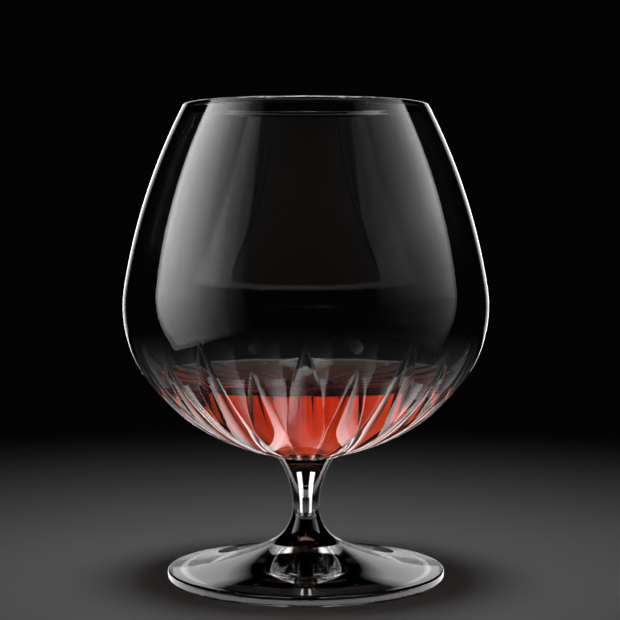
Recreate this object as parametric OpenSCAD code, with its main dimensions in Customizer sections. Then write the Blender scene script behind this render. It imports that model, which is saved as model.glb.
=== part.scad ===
// Brandy snifter: a round blown bowl with leaf cuts on its underside, a drawn stem,
// a spread foot, and a measure of brandy lying in the bowl.
// The glass stands on z = 0 with its axis on Z. All lengths are in millimetres.

/* [Bowl] */
// Widest diameter of the bowl
belly_d = 102; // [94:1:112]
// Height of the widest point above the table
belly_z = 76.5; // [72:0.5:82]
// Outer diameter of the mouth at the lip
rim_d = 68.6; // [60:0.2:75]
// Height of the lip above the table
rim_z = 132.6; // [124:0.2:145]
// Height of the bowl's round underside, measured on the axis
base_z = 33.6; // [31:0.2:37]
// Thickness of the glass at the lip
rim_wall = 1.3; // [1:0.1:2]
// Thickness of the glass at the widest point
belly_wall = 1.5; // [1.2:0.1:2]
// Thickness of the glass in the middle of the bowl's floor
floor_wall = 5; // [4:0.25:7]
// Turn of the belly arc above the widest point, as a share of the lean of the bowl's side
side_turn_share = 0.518; // [0.4:0.002:0.6]

/* [Leaf cuts] */
// Number of leaf cuts around the bowl, tall and short ones in turn
leaf_count = 22; // [16:2:26]
// Height of the tall leaves' tips above the table
tall_tip_z = 69; // [66:0.5:71]
// Height of the short leaves' tips above the table
short_tip_z = 62.5; // [60:0.5:65]
// Depth of a tall leaf where the bowl's side bends into its floor
tall_depth = 0.75; // [0.6:0.05:0.9]
// Depth of a short leaf at the same height
short_depth = 0.42; // [0.34:0.02:0.5]
// Depth of every leaf at its lower end
heel_depth = 0.5; // [0.3:0.05:0.7]
// Slope of a leaf's two flanks down to its middle line, in degrees
leaf_flank = 8; // [7:0.5:10]
// Uncut ring between the lower ends of the leaves and the stem
leaf_margin = 1.5; // [1:0.1:3]

/* [Stem] */
// Diameter of the stem at its neck
neck_d = 7.3; // [6:0.1:9]
// Height of the neck above the table
neck_z = 20; // [18:0.5:23]
// Diameter of the stem where it spreads under the bowl
crown_d = 16; // [13:0.5:18]

/* [Foot] */
// Diameter of the foot
foot_d = 77.6; // [68:0.2:86]
// Height of the foot's upright edge
foot_edge = 2.9; // [2.2:0.1:4]
// Height that the foot's slope would reach at the neck if the stem didn't spread to meet it
foot_rise = 13.3; // [11:0.1:15]
// Sag of the foot's hollow slope below a straight line
foot_sag = 2; // [1:0.1:3]
// Rounding of the foot's upper and lower edges
edge_round = 0.6; // [0.3:0.05:0.9]
// Width of the flat ring that the foot stands on
ring_w = 3.4; // [2:0.1:6]
// Height of the hollow under the middle of the foot
foot_hollow = 2; // [1:0.1:3]

/* [Brandy] */
// Height of the brandy's surface above the table
brandy_z = 56; // [48:0.5:60]

/* [Hidden] */
$fn = 360;

// How strongly the belly arc tightens as the bowl gets wider than it is deep, outside and inside
belly_fullness = 1.2185;
inner_belly_fullness = 0.8357;
// Angles by which a tall and a short leaf still deepen at the bend, in degrees
tall_dip = 1.2;
short_dip = 2.2;
// Turn of a leaf's cutting path past its tip and past the bend, in degrees
leaf_overrun = 6;
// Amount by which neighbouring arcs of an outline cross instead of only touching
arc_seam = 0.005;
// The same for the two arcs of a leaf's cutting path
leaf_seam = 0.02;
// Height by which the belly arc reaches past its neighbours
arc_lap = 2;

// Unit vector at an angle above the horizontal, in the plane of the outline
function heading(angle) = [cos(angle), sin(angle)];
// Angle of a vector above the horizontal
function bearing(v) = atan2(v.y, v.x);
// Radius of the arc that leaves a point square to the unit vector n and passes the offset q
function arc_radius(n, q) = -(q * q) / (2 * (n * q));
// Radius of the belly arc of a bowl with a half width and a depth below its widest point
function belly_radius(half, depth, fullness) = depth * pow(depth / half, fullness);
// Radius of the round underside that carries on smoothly from a belly arc
function base_radius(centre_x, belly, depth) =
    (pow(centre_x, 2) + pow(depth, 2) - pow(belly, 2)) / (2 * (depth - belly));
// Turn below the horizontal at which a belly arc passes into the round underside
function bend_angle(belly, belly_r, base, base_r) = -bearing((belly - base) * sign(base_r - belly_r));

// Belly arc and round underside
belly_h = belly_z - base_z;
belly_r = belly_radius(belly_d / 2, belly_h, belly_fullness);
belly_centre = [belly_d / 2 - belly_r, belly_z];
base_r = base_radius(belly_centre.x, belly_r, belly_h);
base_centre = [0, base_z + base_r];
bend_turn = bend_angle(belly_centre, belly_r, base_centre, base_r);
bend = base_centre + base_r * heading(-bend_turn);

// Belly arc and floor inside the bowl
floor_z = base_z + floor_wall;
inner_half_d = belly_d / 2 - belly_wall;
inner_belly_h = belly_z - floor_z;
inner_belly_r = belly_radius(inner_half_d, inner_belly_h, inner_belly_fullness);
inner_belly_centre = [inner_half_d - inner_belly_r, belly_z];
floor_r = base_radius(inner_belly_centre.x, inner_belly_r, inner_belly_h);
floor_centre = [0, floor_z + floor_r];
floor_turn = bend_angle(inner_belly_centre, inner_belly_r, floor_centre, floor_r);
floor_bend_z = floor_centre.y - floor_r * sin(floor_turn);

// Lip, and the long side arcs outside and inside, both of them tangent to the round lip
lip = [(rim_d - rim_wall) / 2, rim_z - rim_wall / 2];
side_turn = side_turn_share * atan2(belly_d / 2 - lip.x, lip.y - belly_z);
side_way = heading(side_turn);
side_start = belly_centre + belly_r * side_way;
side_r = arc_radius(side_way, lip - side_start + rim_wall / 2 * side_way) + rim_wall / 2;
side_centre = side_start - side_r * side_way;
inner_side_start = inner_belly_centre + inner_belly_r * side_way;
inner_side_r = arc_radius(side_way, lip - inner_side_start - rim_wall / 2 * side_way) - rim_wall / 2;
inner_side_centre = inner_side_start - inner_side_r * side_way;
lip_tilt = bearing(lip - side_centre);

// Seat of the bowl on the stem
crown_r = crown_d / 2;
crown_z = base_centre.y - sqrt(pow(base_r - arc_seam, 2) - pow(crown_r, 2));

// Leaf cuts: half width of the cutting edge, its height, and the lower ends
leaf_half = PI * belly_d / leaf_count / 2;
leaf_height = leaf_half * tan(leaf_flank);
heel_x = crown_r + leaf_margin;
heel_turn = acos(heel_x / base_r);
heel = base_centre + (base_r - heel_depth) * heading(-heel_turn);

// Slope of the foot, carried on up to the neck, and the hollow under the foot
neck_r = neck_d / 2;
foot_r = foot_d / 2;
slope_top = [neck_r, foot_rise];
slope_run = [foot_r, foot_edge] - slope_top;
slope_up = [-slope_run.y, slope_run.x] / norm(slope_run);
slope_r = (pow(norm(slope_run) / 2, 2) + pow(foot_sag, 2)) / (2 * foot_sag);
slope_centre = slope_top + slope_run / 2 + (slope_r - foot_sag) * slope_up;
hollow_x = foot_r - ring_w;
hollow_r = (pow(hollow_x, 2) + pow(foot_hollow, 2)) / (2 * foot_hollow);

// Stem arcs on either side of the neck, the lower one tangent to the foot's slope at the ankle
crown_arc = -arc_radius([1, 0], [crown_r - neck_r, crown_z - neck_z]);
neck_way = [neck_r, neck_z] - slope_centre;
ankle_arc = (pow(slope_r, 2) - neck_way * neck_way) / (2 * (neck_way.x + slope_r));
ankle_way = [neck_r + ankle_arc, neck_z] - slope_centre;
ankle = slope_centre + slope_r * ankle_way / norm(ankle_way);

// Everything between the axis and an arc of the outline that lies between two heights
module band(centre, radius, low, high) {
    intersection() {
        union() {
            translate(centre) circle(r = radius);
            if (centre.x > 0) translate([0, centre.y - radius]) square([centre.x, 2 * radius]);
        }
        translate([0, low]) square([belly_d, high - low]);
    }
}

// Half outline of the bowl's outside, filled in to the axis
module outer_half() {
    band(base_centre, base_r - arc_seam, crown_z, bend.y);
    band(belly_centre, belly_r, bend.y - arc_lap, side_start.y + arc_lap);
    band(side_centre, side_r - arc_seam, side_start.y, rim_z);
}

// Half outline of the space inside the bowl, up to a given height
module inner_half(top) {
    intersection() {
        union() {
            band(floor_centre, floor_r - arc_seam, floor_z, floor_bend_z);
            band(inner_belly_centre, inner_belly_r, floor_bend_z - arc_lap, inner_side_start.y + arc_lap);
            band(inner_side_centre, inner_side_r - arc_seam, inner_side_start.y, rim_z);
        }
        square([belly_d, top]);
    }
}

// Wall of the bowl below the line across it at the lip, and the round lip
module wall_half() {
    reach = belly_d + rim_z;
    intersection() {
        difference() {
            outer_half();
            inner_half(rim_z);
        }
        translate(lip) rotate(lip_tilt) translate([-reach, -reach]) square([2 * reach, reach]);
    }
    translate(lip) circle(d = rim_wall);
}

// One arc of a leaf's cutting path, swept with a blunt V whose edge lies on the arc
module cut_arc(centre, radius, from, to) {
    edge = radius + leaf_height;
    back = edge + leaf_height;
    translate([centre.x, 0, centre.y]) rotate([90, 0, 0]) rotate(from) rotate_extrude(angle = to - from)
        polygon([[radius, 0], [edge, leaf_half], [back, leaf_half], [back, -leaf_half], [edge, -leaf_half]]);
}

// Cutter of one leaf: an upper arc from the tip to the bend and a lower arc on to the heel
module leaf_cut(tip_z, depth, dip) {
    tip = belly_centre + [sqrt(pow(belly_r, 2) - pow(belly_z - tip_z, 2)), tip_z - belly_z];
    way = heading(-bend_turn - dip);
    turn = bend - depth * heading(-bend_turn);
    upper_r = arc_radius(way, tip - turn);
    upper_centre = turn - upper_r * way;
    lower_r = arc_radius(way, heel - turn);
    lower_centre = turn - lower_r * way;
    cut_arc(upper_centre, upper_r, -bend_turn - dip, bearing(tip - upper_centre) + leaf_overrun);
    cut_arc(lower_centre, lower_r - leaf_seam, bearing(heel - lower_centre), leaf_overrun - bend_turn - dip);
}

// Ring of leaf cutters, tall and short ones in turn, with a tall one facing the front
module leaf_ring() {
    for (i = [0 : leaf_count - 1]) {
        tall = i % 2 == 0;
        rotate(i * 360 / leaf_count - 90)
            leaf_cut(tall ? tall_tip_z : short_tip_z, tall ? tall_depth : short_depth, tall ? tall_dip : short_dip);
    }
}

// Half outline of the stem from the neck up to a height
module stem_half(radius, height) {
    difference() {
        square([neck_r + radius, height]);
        translate([neck_r + radius, 0]) circle(r = radius);
    }
}

// Flat plate of the foot with a rounded edge
module foot_plate() {
    round_x = foot_r - edge_round;
    difference() {
        square([foot_r, foot_edge]);
        difference() {
            translate([round_x, 0]) square([edge_round, edge_round]);
            translate([round_x, edge_round]) circle(r = edge_round);
        }
        difference() {
            translate([round_x, foot_edge - edge_round]) square([edge_round, edge_round]);
            translate([round_x, foot_edge - edge_round]) circle(r = edge_round);
        }
    }
}

module bowl() {
    color("aliceblue", 0.4) difference() {
        rotate_extrude() wall_half();
        leaf_ring();
    }
}

module stem() {
    color("aliceblue", 0.4) rotate_extrude() translate([0, neck_z]) {
        stem_half(crown_arc, crown_z - neck_z);
        mirror([0, 1]) stem_half(ankle_arc, neck_z - ankle.y);
    }
}

module foot() {
    color("aliceblue", 0.4) rotate_extrude() difference() {
        union() {
            foot_plate();
            translate([0, foot_edge]) square([foot_r, ankle.y - foot_edge]);
        }
        translate(slope_centre) circle(r = slope_r);
        translate([0, foot_hollow - hollow_r]) intersection() {
            circle(r = hollow_r);
            square([foot_r, hollow_r]);
        }
    }
}

module brandy() {
    color("orangered", 0.8) rotate_extrude() inner_half(brandy_z);
}

bowl();
stem();
foot();
brandy();
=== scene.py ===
"""Brandy snifter: a clear bowl with leaf cuts, a drawn stem, a spread foot and a measure of brandy."""
import math

import bpy
import numpy as np
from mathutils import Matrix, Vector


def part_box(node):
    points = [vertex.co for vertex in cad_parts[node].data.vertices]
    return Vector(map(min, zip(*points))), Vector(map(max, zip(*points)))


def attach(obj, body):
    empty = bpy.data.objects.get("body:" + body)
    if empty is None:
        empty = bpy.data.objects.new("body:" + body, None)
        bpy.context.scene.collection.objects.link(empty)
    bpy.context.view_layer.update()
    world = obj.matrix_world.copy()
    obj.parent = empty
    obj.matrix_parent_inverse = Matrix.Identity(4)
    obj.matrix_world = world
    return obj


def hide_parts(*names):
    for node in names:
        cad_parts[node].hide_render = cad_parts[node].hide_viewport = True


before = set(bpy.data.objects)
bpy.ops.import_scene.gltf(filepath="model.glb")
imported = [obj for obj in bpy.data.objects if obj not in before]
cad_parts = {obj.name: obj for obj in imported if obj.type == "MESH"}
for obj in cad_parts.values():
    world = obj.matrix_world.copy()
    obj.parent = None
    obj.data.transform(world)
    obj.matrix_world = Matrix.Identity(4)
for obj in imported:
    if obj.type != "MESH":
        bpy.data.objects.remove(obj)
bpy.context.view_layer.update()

bowl_low, bowl_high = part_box("bowl")
_, foot_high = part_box("foot")
brandy_low, brandy_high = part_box("brandy")

# Sizes read from the frame, in metres
BELLY_R = bowl_high.x
RIM_Z = bowl_high.z
CROWN_Z = bowl_low.z
FOOT_R = foot_high.x
FLOOR_Z = brandy_low.z
BRANDY_Z = brandy_high.z

# Sizes of the bowl
BELLY_Z = 0.0765
RIM_R = 0.0343
BASE_Z = 0.0336
RIM_WALL = 0.0013
BELLY_WALL = 0.0015
SIDE_TURN = math.radians(9)
BELLY_SHARE = 0.81
INNER_BELLY_SHARE = 0.8

# Sizes of the leaf cuts
LEAF_COUNT = 22
TALL_TIP_Z = 0.069
SHORT_TIP_Z = 0.0625
TALL_DEPTH = 0.00075
SHORT_DEPTH = 0.00042
HEEL_DEPTH = 0.0005
TALL_DIP = math.radians(1.2)
SHORT_DIP = math.radians(2.2)
LEAF_FLANK = math.radians(8)
LEAF_MARGIN = 0.0015

# Sizes of the stem and foot
CROWN_R = 0.008
NECK_R = 0.00365
NECK_Z = 0.02
FOOT_EDGE = 0.0029
FOOT_RISE = 0.0133
FOOT_SAG = 0.002
EDGE_ROUND = 0.0006
RING_W = 0.0034
FOOT_HOLLOW = 0.002

# How far the brandy's mesh reaches into the glass, so that no air film lies between them
WETTING = 0.00015
MENISCUS_H = 0.0003
MENISCUS_W = 0.0012


def heading(angle):
    """Unit vector at an angle above the horizontal, in the plane of the outline."""
    return np.array([math.cos(angle), math.sin(angle)])


def bearing(v):
    """Angle of a vector above the horizontal."""
    return math.atan2(v[1], v[0])


def arc_radius(n, q):
    """Radius of the arc that leaves a point square to the unit vector n and passes the offset q."""
    return -(q @ q) / (2 * (n @ q))


def base_radius(centre_x, belly, depth):
    """Radius of the round underside that carries on smoothly from a belly arc."""
    return (centre_x**2 + depth**2 - belly**2) / (2 * (depth - belly))


def arc(centre, radius, start, end, step):
    """Points of an arc about step apart, both ends included."""
    count = max(2, math.ceil(abs(end - start) * radius / step))
    turn = np.linspace(start, end, count + 1)
    return np.stack([centre[0] + radius * np.cos(turn), centre[1] + radius * np.sin(turn)], axis=1)


def joined(*arcs):
    """One outline from arcs that meet end to end."""
    return np.concatenate([arcs[0]] + [a[1:] for a in arcs[1:]])


# Arcs of the bowl's outside and inside
belly_h = BELLY_Z - BASE_Z
belly_r = BELLY_SHARE * belly_h
belly_centre = np.array([BELLY_R - belly_r, BELLY_Z])
base_r = base_radius(belly_centre[0], belly_r, belly_h)
base_centre = np.array([0, BASE_Z + base_r])
bend_turn = -bearing(belly_centre - base_centre)
bend = base_centre + base_r * heading(-bend_turn)
inner_belly_h = BELLY_Z - FLOOR_Z
inner_belly_r = INNER_BELLY_SHARE * inner_belly_h
inner_belly_centre = np.array([BELLY_R - BELLY_WALL - inner_belly_r, BELLY_Z])
floor_r = base_radius(inner_belly_centre[0], inner_belly_r, inner_belly_h)
floor_centre = np.array([0, FLOOR_Z + floor_r])
floor_turn = -bearing(inner_belly_centre - floor_centre)
lip = np.array([RIM_R - RIM_WALL / 2, RIM_Z - RIM_WALL / 2])
side_way = heading(SIDE_TURN)
side_start = belly_centre + belly_r * side_way
side_r = arc_radius(side_way, lip - side_start + RIM_WALL / 2 * side_way) + RIM_WALL / 2
side_centre = side_start - side_r * side_way
inner_side_start = inner_belly_centre + inner_belly_r * side_way
inner_side_r = arc_radius(side_way, lip - inner_side_start - RIM_WALL / 2 * side_way) - RIM_WALL / 2
inner_side_centre = inner_side_start - inner_side_r * side_way
lip_turn = bearing(lip - side_centre)

# Arcs of the foot's slope and the stem, whose lower arc is tangent to the slope at the ankle
slope_top = np.array([NECK_R, FOOT_RISE])
slope_run = np.array([FOOT_R, FOOT_EDGE]) - slope_top
slope_len = np.linalg.norm(slope_run)
slope_up = np.array([-slope_run[1], slope_run[0]]) / slope_len
slope_r = ((slope_len / 2) ** 2 + FOOT_SAG**2) / (2 * FOOT_SAG)
slope_centre = slope_top + slope_run / 2 + (slope_r - FOOT_SAG) * slope_up
crown_arc = -arc_radius(heading(0), np.array([CROWN_R - NECK_R, CROWN_Z - NECK_Z]))
neck_way = np.array([NECK_R, NECK_Z]) - slope_centre
ankle_arc = (slope_r**2 - neck_way @ neck_way) / (2 * (neck_way[0] + slope_r))
ankle_turn = bearing(slope_centre - [NECK_R + ankle_arc, NECK_Z])


def link(obj):
    """Puts an object in the scene."""
    bpy.context.scene.collection.objects.link(obj)
    return obj


def mesh_object(name, points, faces, materials, face_slots, crisp_rings):
    """A smooth-shaded mesh object from arrays of points and faces, with crisp edges round some rings."""
    mesh = bpy.data.meshes.new(name)
    mesh.from_pydata(points.tolist(), [], faces)
    for material in materials:
        mesh.materials.append(material)
    mesh.polygons.foreach_set("use_smooth", np.ones(len(faces), bool))
    mesh.polygons.foreach_set("material_index", np.array(face_slots, np.int32))
    mesh.update()
    ends = np.zeros(2 * len(mesh.edges), np.int32)
    mesh.edges.foreach_get("vertices", ends)
    crisp = np.zeros(len(mesh.edges), bool)
    for ring in crisp_rings:
        crisp |= np.isin(ends.reshape(-1, 2), ring).all(axis=1)
    mesh.edges.foreach_set("use_edge_sharp", crisp)
    return link(bpy.data.objects.new(name, mesh))


def ring_faces(rows, columns):
    """Quads between neighbouring rings of points, row after row."""
    here = np.arange(columns)
    ahead = (here + 1) % columns
    quads = []
    for row in range(rows - 1):
        low, high = row * columns, (row + 1) * columns
        quads += np.stack([low + here, low + ahead, high + ahead, high + here], axis=1).tolist()
    return quads


def fan(ring, pole, turned):
    """Triangles from a ring of points to a pole."""
    ahead = np.roll(ring, -1)
    pairs = zip(ring, ahead)
    return [[int(b), int(a), pole] if turned else [int(a), int(b), pole] for a, b in pairs]


def turned_body(name, angles, radius, height, materials, seams):
    """Closed body from a grid of radii and heights (rows by columns), its ends closed on the axis."""
    rows, columns = radius.shape
    points = np.stack([radius * np.cos(angles), radius * np.sin(angles), height], axis=2).reshape(-1, 3)
    ends = [[0, 0, height[0, 0]], [0, 0, height[-1, 0]]]
    points = np.concatenate([points, ends])
    faces = ring_faces(rows, columns)
    slots = [0] * len(faces)
    crisp_rings = []
    for ring, pole, turned, seam in (
        (np.arange(columns), rows * columns, True, seams[0]),
        (np.arange(columns) + (rows - 1) * columns, rows * columns + 1, False, seams[1]),
    ):
        cap = fan(ring, pole, turned)
        faces += cap
        slots += [1 if seam else 0] * len(cap)
        if seam:
            crisp_rings.append(ring)
    return mesh_object(name, points, faces, materials, slots, crisp_rings)


def revolved(name, outline, columns, materials, seams):
    """Body turned from an outline that starts and ends near the axis."""
    turn = np.linspace(0, 2 * math.pi, columns, endpoint=False)
    angles = np.broadcast_to(turn, (len(outline), columns))
    radius = np.repeat(outline[:, :1], columns, axis=1)
    height = np.repeat(outline[:, 1:], columns, axis=1)
    return turned_body(name, angles, radius, height, materials, seams)


# Materials

GLASS_IOR = 1.52
BRANDY_IOR = 1.36
BRANDY_TINT = (0.927, 0.364, 0.045, 1)
BRANDY_DENSITY = 75
RELIEF = 0.0002
WHITE = (1, 1, 1, 1)
TABLE_DARK = (0.72, 0.72, 0.73, 1)
TABLE_LIGHT = (0.78, 0.78, 0.79, 1)


def principled(name):
    """New material with its node tree and its Principled shader."""
    material = bpy.data.materials.new(name)
    material.use_nodes = True
    return material, material.node_tree, material.node_tree.nodes["Principled BSDF"]


def add_noise(tree, scale, detail):
    """Value of a noise that lies in the object itself."""
    place = tree.nodes.new("ShaderNodeTexCoord")
    noise = tree.nodes.new("ShaderNodeTexNoise")
    noise.inputs["Scale"].default_value = scale
    noise.inputs["Detail"].default_value = detail
    tree.links.new(place.outputs["Object"], noise.inputs["Vector"])
    return noise.outputs["Fac"]


def add_range(tree, value, low, high):
    """Value between 0 and 1 moved to lie between two numbers."""
    span = tree.nodes.new("ShaderNodeMapRange")
    span.inputs["To Min"].default_value = low
    span.inputs["To Max"].default_value = high
    tree.links.new(value, span.inputs["Value"])
    return span.outputs["Result"]


def add_bump(tree, shader, height, distance, strength):
    """Fine relief of a surface from a height."""
    bump = tree.nodes.new("ShaderNodeBump")
    bump.inputs["Distance"].default_value = distance
    bump.inputs["Strength"].default_value = strength
    tree.links.new(height, bump.inputs["Height"])
    tree.links.new(bump.outputs["Normal"], shader.inputs["Normal"])


def make_glass():
    """Clear crystal with the faint waviness of blown glass and a fine haze of wear."""
    material, tree, shader = principled("clear_crystal")
    shader.inputs["Base Color"].default_value = WHITE
    shader.inputs["Transmission Weight"].default_value = 1
    shader.inputs["IOR"].default_value = GLASS_IOR
    haze = add_range(tree, add_noise(tree, scale=90, detail=3), low=0, high=0.012)
    tree.links.new(haze, shader.inputs["Roughness"])
    add_bump(tree, shader, add_noise(tree, scale=35, detail=0), RELIEF, strength=0.15)
    return material


def make_seam():
    """Hot-joined seam: glass on both sides, so light passes it unbent."""
    material, _, shader = principled("fused_seam")
    shader.inputs["Base Color"].default_value = WHITE
    shader.inputs["Transmission Weight"].default_value = 1
    shader.inputs["IOR"].default_value = 1
    shader.inputs["Roughness"].default_value = 0
    return material


def make_brandy():
    """Clear amber-red spirit that deepens with the length of the light's way through it."""
    material, tree, shader = principled("amber_spirit")
    shader.inputs["Base Color"].default_value = WHITE
    shader.inputs["Transmission Weight"].default_value = 1
    shader.inputs["IOR"].default_value = BRANDY_IOR
    haze = add_range(tree, add_noise(tree, scale=40, detail=1), low=0, high=0.008)
    tree.links.new(haze, shader.inputs["Roughness"])
    add_bump(tree, shader, add_noise(tree, scale=25, detail=0), RELIEF, strength=0.08)
    absorption = tree.nodes.new("ShaderNodeVolumeAbsorption")
    absorption.inputs["Color"].default_value = BRANDY_TINT
    absorption.inputs["Density"].default_value = BRANDY_DENSITY
    tree.links.new(absorption.outputs["Volume"], tree.nodes["Material Output"].inputs["Volume"])
    return material


def make_floor():
    """Pale matt table top with a fine grain."""
    material, tree, shader = principled("pale_table")
    tone = tree.nodes.new("ShaderNodeMix")
    tone.data_type = "RGBA"
    tone.inputs["A"].default_value = TABLE_DARK
    tone.inputs["B"].default_value = TABLE_LIGHT
    tree.links.new(add_noise(tree, scale=12, detail=4), tone.inputs["Factor"])
    tree.links.new(tone.outputs["Result"], shader.inputs["Base Color"])
    dull = add_range(tree, add_noise(tree, scale=60, detail=3), low=0.5, high=0.7)
    tree.links.new(dull, shader.inputs["Roughness"])
    add_bump(tree, shader, add_noise(tree, scale=900, detail=2), RELIEF, strength=0.1)
    return material


glass = make_glass()
seam = make_seam()
spirit = make_brandy()


# Bowl

# Spacing of the rows of points along the outlines
OUTLINE_STEP = 0.0004
LEAF_STEP = 0.0006
LIP_STEP = OUTLINE_STEP / 3
BELLY_STEP = 3 * OUTLINE_STEP
SIDE_STEP = 4 * OUTLINE_STEP
WIDE_STEP = 2 * OUTLINE_STEP

# Columns of points across half a leaf and across the strip between two leaves, as shares of their widths
LEAF_SHARES = np.array([0, 0.2, 0.4, 0.6, 0.78, 0.92, 0.985])
GAP_SHARES = np.array([0, 0.15, 0.5, 0.85])

# Half widths of a leaf's columns where there is no cut: least at its tip, spreading to even columns above it
PITCH = 2 * math.pi / LEAF_COUNT
MIN_HALF = 0.0002
MIN_HALF_TURN = PITCH / 8
EVEN_HALF = PITCH / 3
TIP_SPREAD = 0.006

HEEL_FADE = 0.0006
HALVINGS = 40
heel_x = CROWN_R + LEAF_MARGIN
heel = base_centre + (base_r - HEEL_DEPTH) * heading(-math.acos(heel_x / base_r))


def leaf_path(tip_z, depth, dip):
    """Cutting path of a leaf: its upper and lower arc, the way out where they meet, and its tip's height."""
    tip = belly_centre + [math.sqrt(belly_r**2 - (BELLY_Z - tip_z) ** 2), tip_z - BELLY_Z]
    way = heading(-bend_turn - dip)
    turn = bend - depth * heading(-bend_turn)
    upper_r = arc_radius(way, tip - turn)
    lower_r = arc_radius(way, heel - turn)
    return (turn - upper_r * way, upper_r), (turn - lower_r * way, lower_r), way, tip_z


TALL = leaf_path(TALL_TIP_Z, TALL_DEPTH, TALL_DIP)
SHORT = leaf_path(SHORT_TIP_Z, SHORT_DEPTH, SHORT_DIP)


def cut_depth(path, radius, height, angle):
    """Depth of a leaf's cut at points of the outside, below zero where the cut doesn't reach."""
    (upper_c, upper_r), (lower_c, lower_r), way, tip_z = path
    ahead = radius * np.cos(angle)
    rise = np.abs(radius * np.sin(angle)) * math.tan(LEAF_FLANK)
    upper = np.hypot(ahead - upper_c[0], height - upper_c[1]) - upper_r - rise
    lower = np.hypot(ahead - lower_c[0], height - lower_c[1]) - lower_r - rise
    turn = lower_c + lower_r * way
    above = (ahead - turn[0]) * -way[1] + (height - turn[1]) * way[0] > 0
    depth = np.where(above, upper, lower)
    depth = np.where(height < tip_z, depth, -rise)
    return depth * np.clip((radius - heel_x) / HEEL_FADE, 0, 1)


def solve(falling):
    """Angle up to a leaf's pitch in each row at which a falling function passes zero."""
    low = np.full(len(radius_rows), 0.0)
    high = np.full(len(radius_rows), PITCH)
    for _ in range(HALVINGS):
        middle = (low + high) / 2
        short_of = falling(middle) > 0
        low = np.where(short_of, middle, low)
        high = np.where(short_of, high, middle)
    return (low + high) / 2


crown_turn = -math.acos(CROWN_R / base_r)
outer = joined(
    arc(base_centre, base_r, crown_turn, -bend_turn, LEAF_STEP),
    arc(belly_centre, belly_r, -bend_turn, 0, LEAF_STEP),
    arc(belly_centre, belly_r, 0, SIDE_TURN, BELLY_STEP),
    arc(side_centre, side_r, SIDE_TURN, lip_turn, SIDE_STEP),
)
outer_rows = len(outer)
inside = joined(
    arc(lip, RIM_WALL / 2, lip_turn, lip_turn + math.pi, LIP_STEP),
    arc(inner_side_centre, inner_side_r, lip_turn, SIDE_TURN, SIDE_STEP),
    arc(inner_belly_centre, inner_belly_r, SIDE_TURN, -floor_turn, BELLY_STEP),
    arc(floor_centre, floor_r, -floor_turn, -math.pi / 2 + OUTLINE_STEP / floor_r, BELLY_STEP),
)
outline = joined(outer, inside)
radius_rows, height_rows = outline[:, 0], outline[:, 1]


def half_widths():
    """Half angles of the columns of the tall and short leaves in each row."""
    tall = solve(lambda a: cut_depth(TALL, radius_rows, height_rows, a))
    short = solve(lambda a: cut_depth(SHORT, radius_rows, height_rows, a))
    ridge = solve(
        lambda a: cut_depth(TALL, radius_rows, height_rows, a)
        - cut_depth(SHORT, radius_rows, height_rows, PITCH - a)
    )
    least = np.minimum(MIN_HALF / np.maximum(radius_rows, MIN_HALF), MIN_HALF_TURN)
    meet = tall + short > PITCH - least
    tall = np.where(meet, ridge - least / 2, tall)
    short = np.where(meet, PITCH - ridge - least / 2, short)
    plain = (np.arange(len(outline)) >= outer_rows) | (radius_rows < heel_x + HEEL_FADE)
    for half, tip_z in ((tall, TALL_TIP_Z), (short, SHORT_TIP_Z)):
        spread = np.clip((height_rows - tip_z) / TIP_SPREAD, 0, 1)
        blank = least + (EVEN_HALF - least) * spread
        half[:] = np.where(plain, EVEN_HALF, np.maximum(half, blank))
    return tall, short


tall_half, short_half = half_widths()


def leaf_section(path, half):
    """Depths of a leaf's smooth hollow across its half width, in each row."""
    middle = np.maximum(cut_depth(path, radius_rows, height_rows, 0), 0)
    edge = np.clip(cut_depth(path, radius_rows, height_rows, half), 0, middle)
    depth = edge[:, None] + (middle - edge)[:, None] * (1 - LEAF_SHARES**2)
    depth[outer_rows:] = 0
    return depth


def whole_ring(half, mirror):
    """Columns all round the bowl from those of half a leaf pair, mirrored and repeated."""
    pair = np.concatenate([half, mirror(half[:, 1:-1][:, ::-1])], axis=1)
    return [pair] * (LEAF_COUNT // 2)


def make_bowl():
    """Bowl whose columns follow the edges of its leaf cuts, row by row."""
    gap = (PITCH - tall_half - short_half)[:, None]
    angles = np.concatenate([
        tall_half[:, None] * LEAF_SHARES,
        tall_half[:, None] + gap * GAP_SHARES,
        PITCH - short_half[:, None] * LEAF_SHARES[::-1],
    ], axis=1)
    tall = leaf_section(TALL, tall_half)
    short = leaf_section(SHORT, short_half)[:, ::-1]
    ridge = tall[:, -1:] + (short[:, :1] - tall[:, -1:]) * GAP_SHARES
    depth = np.concatenate([tall, ridge, short], axis=1)
    pairs = whole_ring(angles, lambda half: 2 * PITCH - half)
    angles = np.concatenate([pair + 2 * PITCH * i for i, pair in enumerate(pairs)], axis=1)
    depth = np.concatenate(whole_ring(depth, lambda half: half), axis=1)
    way = np.gradient(outline, axis=0)
    normal = np.stack([way[:, 1], -way[:, 0]], axis=1)
    normal /= np.linalg.norm(normal, axis=1, keepdims=True)
    radius = radius_rows[:, None] - depth * normal[:, :1]
    height = height_rows[:, None] - depth * normal[:, 1:]
    return turned_body("bowl_glass", angles - math.pi / 2, radius, height, [glass, seam], (True, False))


bowl = make_bowl()


# Stem

STEM_COLUMNS = 192
stem_outline = joined(
    arc((NECK_R + ankle_arc, NECK_Z), ankle_arc, math.pi + ankle_turn, math.pi, OUTLINE_STEP),
    arc((NECK_R + crown_arc, NECK_Z), crown_arc, math.pi,
        math.pi - math.asin((CROWN_Z - NECK_Z) / crown_arc), OUTLINE_STEP),
)
stem = revolved("stem_glass", stem_outline, STEM_COLUMNS, [glass, seam], (True, True))


# Foot

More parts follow.
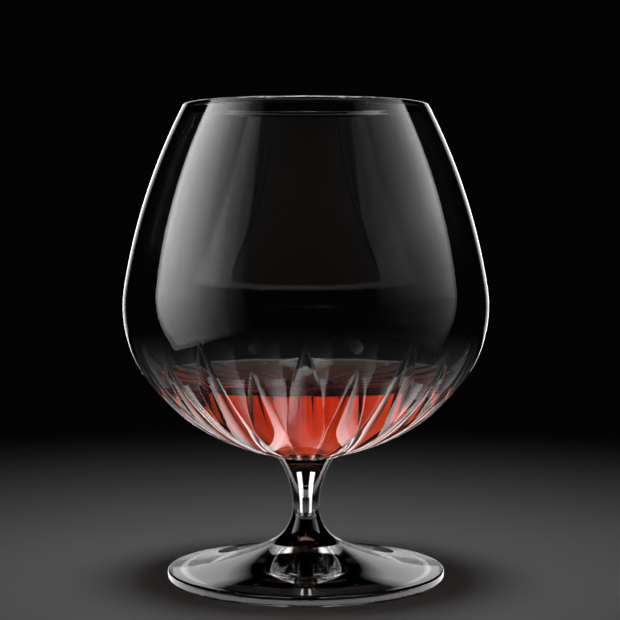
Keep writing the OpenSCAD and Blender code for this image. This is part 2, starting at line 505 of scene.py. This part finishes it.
FOOT_COLUMNS = 256
ROUND_STEP = EDGE_ROUND / 6
hollow_x = FOOT_R - RING_W
hollow_r = (hollow_x**2 + FOOT_HOLLOW**2) / (2 * FOOT_HOLLOW)
round_x = FOOT_R - EDGE_ROUND
slope_end = bearing(np.array([round_x, FOOT_EDGE]) - slope_centre)
foot_outline = joined(
    arc((0, FOOT_HOLLOW - hollow_r), hollow_r, math.pi / 2 - OUTLINE_STEP / hollow_r,
        math.asin((hollow_r - FOOT_HOLLOW) / hollow_r), WIDE_STEP),
    np.array([[hollow_x, 0], [hollow_x + RING_W / 3, 0], [round_x, 0]]),
    arc((round_x, EDGE_ROUND), EDGE_ROUND, -math.pi / 2, 0, ROUND_STEP),
    arc((round_x, FOOT_EDGE - EDGE_ROUND), EDGE_ROUND, 0, math.pi / 2, ROUND_STEP),
    arc(slope_centre, slope_r, slope_end, -math.pi + ankle_turn, OUTLINE_STEP),
)
foot = revolved("foot_glass", foot_outline, FOOT_COLUMNS, [glass, seam], (False, True))


# Brandy

BRANDY_COLUMNS = 256
MENISCUS_ROWS = 12
SURFACE_ROWS = 11


def make_brandy_body():
    """Brandy with a level surface that climbs a little where it meets the glass."""
    wall_turn = math.asin((BRANDY_Z + MENISCUS_H - BELLY_Z) / (inner_belly_r + WETTING))
    wall = joined(
        arc(floor_centre, floor_r + WETTING, -math.pi / 2 + OUTLINE_STEP / floor_r, -floor_turn, WIDE_STEP),
        arc(inner_belly_centre, inner_belly_r + WETTING, -floor_turn, wall_turn, WIDE_STEP),
    )
    edge_x = wall[-1, 0]
    out = np.linspace(1, 0, MENISCUS_ROWS + 1)[1:]
    rise = np.stack([edge_x - MENISCUS_W * (1 - out), BRANDY_Z + MENISCUS_H * out**3], axis=1)
    flat_x = np.linspace(edge_x - MENISCUS_W, OUTLINE_STEP, SURFACE_ROWS + 1)[1:]
    flat = np.stack([flat_x, np.full_like(flat_x, BRANDY_Z)], axis=1)
    profile = np.concatenate([wall, rise, flat])
    return revolved("brandy_measure", profile, BRANDY_COLUMNS, [spirit], (False, False))


brandy = make_brandy_body()

for piece, node, slot in (
    (bowl, "bowl", "glass"),
    (stem, "stem", "glass"),
    (foot, "foot", "glass"),
    (brandy, "brandy", "brandy"),
):
    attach(piece, "root")
    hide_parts(node)


# Table, light and camera

FLOOR_R = 0.6


def square(half, z):
    """Corners of a level square round the axis."""
    return [(-half, -half, z), (half, -half, z), (half, half, z), (-half, half, z)]


def make_floor_plane():
    """Table top that the glass stands on."""
    mesh = bpy.data.meshes.new("table")
    mesh.from_pydata(square(FLOOR_R, 0), [], [(0, 1, 2, 3)])
    mesh.materials.append(make_floor())
    floor = link(bpy.data.objects.new("table", mesh))


make_floor_plane()


def lit_group(name, pieces):
    """Collection of the pieces that a card lights."""
    group = bpy.data.collections.new(name)
    for piece in pieces:
        group.objects.link(piece)
    return group


def add_ramp(tree, source, shares):
    """Smooth grade of brightness along a value from 0 to 1."""
    ramp = tree.nodes.new("ShaderNodeValToRGB")
    stops = ramp.color_ramp.elements
    while len(stops) < len(shares):
        stops.new(0.5)
    for stop, (at, level) in zip(stops, shares):
        stop.position = at
        stop.color = (level, level, level, 1)
    tree.links.new(source, ramp.inputs["Fac"])
    return ramp.outputs["Color"]


def add_maths(tree, operation, a, b):
    """Math node on an output and a number or a second output."""
    node = tree.nodes.new("ShaderNodeMath")
    node.operation = operation
    tree.links.new(a, node.inputs[0])
    if isinstance(b, bpy.types.NodeSocket):
        tree.links.new(b, node.inputs[1])
    else:
        node.inputs[1].default_value = b
    return node.outputs["Value"]


# Counts are whole numbers, so half of one parts them
HALF_COUNT = 0.5


def card_material(name, across_shares, up_shares, strength, faces):
    """Light of a card, graded along both its edges, that shows only past so many faces of glass and mirrorings."""
    material = bpy.data.materials.new(name)
    material.use_nodes = True
    tree = material.node_tree
    tree.nodes.clear()
    output = tree.nodes.new("ShaderNodeOutputMaterial")
    emission = tree.nodes.new("ShaderNodeEmission")
    clear = tree.nodes.new("ShaderNodeBsdfTransparent")
    both = tree.nodes.new("ShaderNodeAddShader")
    path = tree.nodes.new("ShaderNodeLightPath")
    place = tree.nodes.new("ShaderNodeTexCoord")
    split = tree.nodes.new("ShaderNodeSeparateXYZ")
    tree.links.new(place.outputs["UV"], split.inputs[0])
    across = add_ramp(tree, split.outputs["X"], across_shares)
    rise = add_ramp(tree, split.outputs["Y"], up_shares)
    glow = add_maths(tree, "MULTIPLY", across, rise)
    for count, least, most in (("Transmission Depth", *faces[:2]), ("Glossy Depth", *faces[2:])):
        enough = add_maths(tree, "GREATER_THAN", path.outputs[count], least - HALF_COUNT)
        not_over = add_maths(tree, "LESS_THAN", path.outputs[count], most + HALF_COUNT)
        glow = add_maths(tree, "MULTIPLY", glow, add_maths(tree, "MULTIPLY", enough, not_over))
    tree.links.new(glow, emission.inputs["Color"])
    emission.inputs["Strength"].default_value = strength
    tree.links.new(clear.outputs["BSDF"], both.inputs[0])
    tree.links.new(emission.outputs["Emission"], both.inputs[1])
    tree.links.new(both.outputs["Shader"], output.inputs["Surface"])
    return material


def card(name, points, faces, spans, material, group):
    """Light card that only the glass of a group sees."""
    mesh = bpy.data.meshes.new(name)
    mesh.from_pydata(points, [], faces)
    uv = mesh.uv_layers.new(name="UVMap")
    uv.data.foreach_set("uv", spans)
    mesh.materials.append(material)
    obj = link(bpy.data.objects.new(name, mesh))
    obj.visible_camera = False
    obj.visible_shadow = False
    obj.light_linking.receiver_collection = group


def panel(name, corners, across_shares, up_shares, strength, faces, group):
    """Flat card with four corners: low start, low end, high end, high start."""
    material = card_material(name, across_shares, up_shares, strength, faces)
    card(name, corners, [(0, 1, 2, 3)], [0, 0, 1, 0, 1, 1, 0, 1], material, group)


def ring_card(name, inner, outer, sectors, steps, across_shares, up_shares, strength, faces, group):
    """Card all round the glass between two circles (radius, height), its light repeated in sectors."""
    count = sectors * steps
    turn = 2 * math.pi * (np.arange(count) / steps - 0.5) / sectors
    points = [(r * math.sin(t), -r * math.cos(t), z) for r, z in (inner, outer) for t in turn]
    quads = []
    spans = []
    for i in range(count):
        ahead = (i + 1) % count
        quads.append((i, ahead, count + ahead, count + i))
        near = i % steps / steps
        far = near + 1 / steps
        spans += [near, 0, far, 0, far, 1, near, 1]
    material = card_material(name, across_shares, up_shares, strength, faces)
    card(name, points, quads, spans, material, group)


# Least and most faces that light passes on its way from a card, and how often it is mirrored at least and most:
# no face where the outside mirrors it, two where the inside of the near wall does, more than four behind both
# walls and the brandy, with a mirroring where the brandy's surface turns it down
NO_LIMIT = 12
OUTSIDE = (0, 0, 0, NO_LIMIT)
NEAR_WALL = (0, 2, 1, NO_LIMIT)
UNDER_SURFACE = (5, NO_LIMIT, 1, NO_LIMIT)
ANY = (0, NO_LIMIT, 0, NO_LIMIT)

# Levels of light at places from 0 to 1 along a card's edge
EVEN = [(0, 1), (1, 1)]

cup = lit_group("cup", [bowl, brandy])
base = lit_group("base", [stem, foot])
stem_only = lit_group("stem_only", [stem])

# Tall soft panels on both sides, leaning back, and further out those that only the stem mirrors
PANEL_X = 0.17
STEM_PANEL_X = 1.1 * PANEL_X
LEFT_Y = -0.021
RIGHT_Y = -0.017
PANEL_H = 0.45
PANEL_LEAN = 0.13
PANEL_W = 0.27
LEFT_FADE = [(0, 1), (0.15, 0.8), (0.3, 0.52), (0.45, 0.24), (0.68, 0.045), (1, 0)]
LEFT_RISE = [(0, 0.25), (0.06, 0.3), (0.2, 0.62), (0.29, 0.9), (0.36, 1)]
RIGHT_FADE = [(0, 1), (0.13, 0.55), (0.26, 0.28), (0.41, 0.15), (0.6, 0.06), (0.85, 0)]
RIGHT_RISE = [(0, 0.03), (0.06, 0.05), (0.2, 0.19), (0.29, 0.53), (0.36, 1)]
for name, x, y, fade, rise, strength, faces, group in (
    ("left_panel", -PANEL_X, LEFT_Y, LEFT_FADE, LEFT_RISE, 3.6, NEAR_WALL, cup),
    ("right_panel", PANEL_X, RIGHT_Y, RIGHT_FADE, RIGHT_RISE, 2.4, NEAR_WALL, cup),
    ("left_stem_panel", -STEM_PANEL_X, LEFT_Y, LEFT_FADE, EVEN, 3.6, OUTSIDE, stem_only),
    ("right_stem_panel", STEM_PANEL_X, RIGHT_Y, RIGHT_FADE, EVEN, 3.6, OUTSIDE, stem_only),
):
    far = y + PANEL_LEAN
    corners = [(x, y, 0), (x, y - PANEL_W, 0), (x, far - PANEL_W, PANEL_H), (x, far, PANEL_H)]
    panel(name, corners, fade, rise, strength, faces, group)

# Soft card above the mouth, which draws the lip
LIP_CARD_HALF = 0.12
LIP_CARD_Z = 0.35
panel("lip_card", square(LIP_CARD_HALF, LIP_CARD_Z), EVEN, EVEN, 8, OUTSIDE, cup)

# Strips behind the glass, which draw the outlines of the bowl and the bright lines of stem and foot
OUTLINE_STRIP = [(0.026, 0.5, -0.1), (0.386, 0.5, -0.1), (0.386, 0.5, 0.4), (0.026, 0.5, 0.4)]
STEM_STRIP = [(0.0065, 0.046, 0), (0.0158, 0.046, 0), (0.055, 0.16, 0.12), (0.0225, 0.16, 0.12)]
FOOT_STRIP = [(0.045, 0.5, 0), (0.175, 0.5, 0), (0.215, 0.5, 0.34), (0.085, 0.5, 0.34)]
OUTLINE_FADE = [(0, 0), (0.05, 1), (0.3, 1), (0.5, 0.3), (0.8, 0)]
STRIP_SOFT = [(0, 0), (0.15, 1), (0.6, 1), (1, 0)]
STRIP_RISE = [(0, 1), (0.7, 1), (1, 0)]
for side, name in ((-1, "left"), (1, "right")):
    for kind, strip, fade, rise, strength, faces, group in (
        ("_outline", OUTLINE_STRIP, OUTLINE_FADE, EVEN, 4, OUTSIDE, cup),
        ("_stem_strip", STEM_STRIP, STRIP_SOFT, EVEN, 1.2, ANY, stem_only),
        ("_foot_strip", FOOT_STRIP, STRIP_SOFT, STRIP_RISE, 1.2, ANY, base),
    ):
        panel(name + kind, [(side * x, y, z) for x, y, z in strip], fade, rise, strength, faces, group)

# Ring of card round the brandy, brightest behind it on the right
GLOW_ROUND = [
    (0, 0.75), (0.08, 0.3), (0.2, 0.2), (0.3, 0.25), (0.5, 0.4), (0.7, 0.35), (0.78, 1.25), (0.92, 1.05), (1, 0.75),
]
GLOW_RISE = [(0, 0), (0.15, 1), (0.8, 1), (0.9, 0.3), (1, 0)]
RING_STEPS = 64
GLOW_RING = (0.0565, 0.045), (0.057, 0.06)
ring_card("brandy_glow", *GLOW_RING, 1, RING_STEPS, GLOW_ROUND, GLOW_RISE, 1.05, UNDER_SURFACE, cup)

# Rings of small graded cards under the bowl, which the leaf cuts mirror
NEAR_ACROSS = [(0, 0), (0.45, 0.03), (0.6, 0.3), (0.8, 1), (1, 1)]
FAR_ACROSS = [(0, 0), (0.45, 0.03), (0.75, 0.35), (1, 1)]
NEAR_OUT = [(0, 1), (0.55, 1), (1, 0.4)]
FAR_OUT = [(0, 0.4), (0.15, 0.25), (0.35, 0.1), (0.6, 0.03), (1, 0)]
NEAR_RING = (0.012, 0.028), (0.07, 0.0195)
FAR_RING = (0.07, 0.001), (0.2, 0.001)
NEAR_CARDS, NEAR_STEPS = 16, 6
FAR_CARDS, FAR_STEPS = 13, 8
ring_card("near_leaf_cards", *NEAR_RING, NEAR_CARDS, NEAR_STEPS, NEAR_ACROSS, NEAR_OUT, 3.2, OUTSIDE, cup)
ring_card("far_leaf_cards", *FAR_RING, FAR_CARDS, FAR_STEPS, FAR_ACROSS, FAR_OUT, 4, OUTSIDE, cup)

# Ring of card on the table, which the foot's upright edge mirrors
EDGE_OUT = [(0, 1), (0.5, 1), (1, 0)]
EDGE_RING = (0.0395, 0.0004), (0.06, 0.0004)
ring_card("edge_card", *EDGE_RING, 1, RING_STEPS, EVEN, EDGE_OUT, 2.5, OUTSIDE, base)

# Lamp that lights the table, and a dark room
LAMP_D = 0.25
LAMP_Z = 0.7
LAMP_POWER = 0.035
LAMP_SPREAD = math.radians(40)
ROOM = (0.001, 0.001, 0.001, 1)
lamp = bpy.data.lights.new("overhead", "AREA")
lamp.shape = "DISK"
lamp.size = LAMP_D
lamp.energy = LAMP_POWER
lamp.spread = LAMP_SPREAD
overhead = link(bpy.data.objects.new("overhead", lamp))
overhead.location = (0, 0, LAMP_Z)

scene = bpy.context.scene
world = bpy.data.worlds.new("dark_room")
world.use_nodes = True
world.node_tree.nodes["Background"].inputs["Color"].default_value = ROOM
scene.world = world

# Camera as in the photo
CAMERA_PLACE = (0.00115, -0.46988, 0.09918)
CAMERA_TILT = math.radians(2.9)
FOCAL_PX = 1678.65
FRAME_PX = 620
SENSOR = 36
CLIP_START = 0.01
camera_data = bpy.data.cameras.new("camera")
camera_data.sensor_width = SENSOR
camera_data.lens = SENSOR * FOCAL_PX / FRAME_PX
camera_data.clip_start = CLIP_START
camera = link(bpy.data.objects.new("camera", camera_data))
camera.location = CAMERA_PLACE
camera.rotation_euler = (math.pi / 2 - CAMERA_TILT, 0, 0)
bpy.context.scene.camera = camera

scene.view_settings.view_transform = "Standard"
